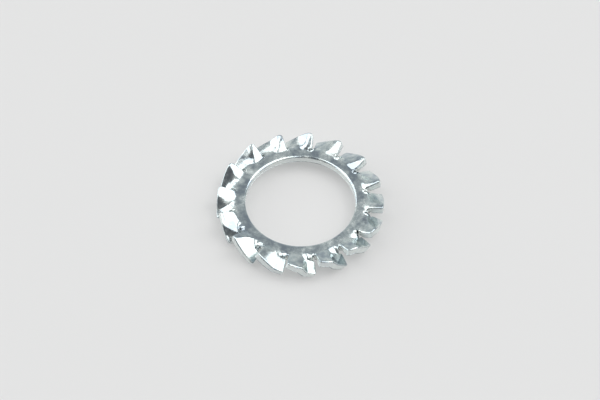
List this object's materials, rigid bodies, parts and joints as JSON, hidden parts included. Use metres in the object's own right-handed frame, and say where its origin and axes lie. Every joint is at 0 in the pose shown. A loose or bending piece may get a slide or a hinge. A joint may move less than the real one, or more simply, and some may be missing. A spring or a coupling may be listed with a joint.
{
  "type": "toothed lock washer",
  "caption": "Flat spring-steel ring with short twisted teeth around its rim, each with one corner raised and the other lowered so that it bites into the nut and the work.",
  "frame": {"origin": "on the bore's axis, half way through the flat band", "axes": "+Z along the bore's axis, up when the washer lies flat; a tooth lies along +X; seen from +Z each tooth's clockwise edge is the raised one"},
  "size_m": [0.02, 0.02, 0.0031],
  "materials": {
    "zinc_plate": "bright zinc plate with a faint blue passivate"
  },
  "bodies": {
    "root": {"lock_washer": "zinc_plate"}
  },
  "joints": []
}
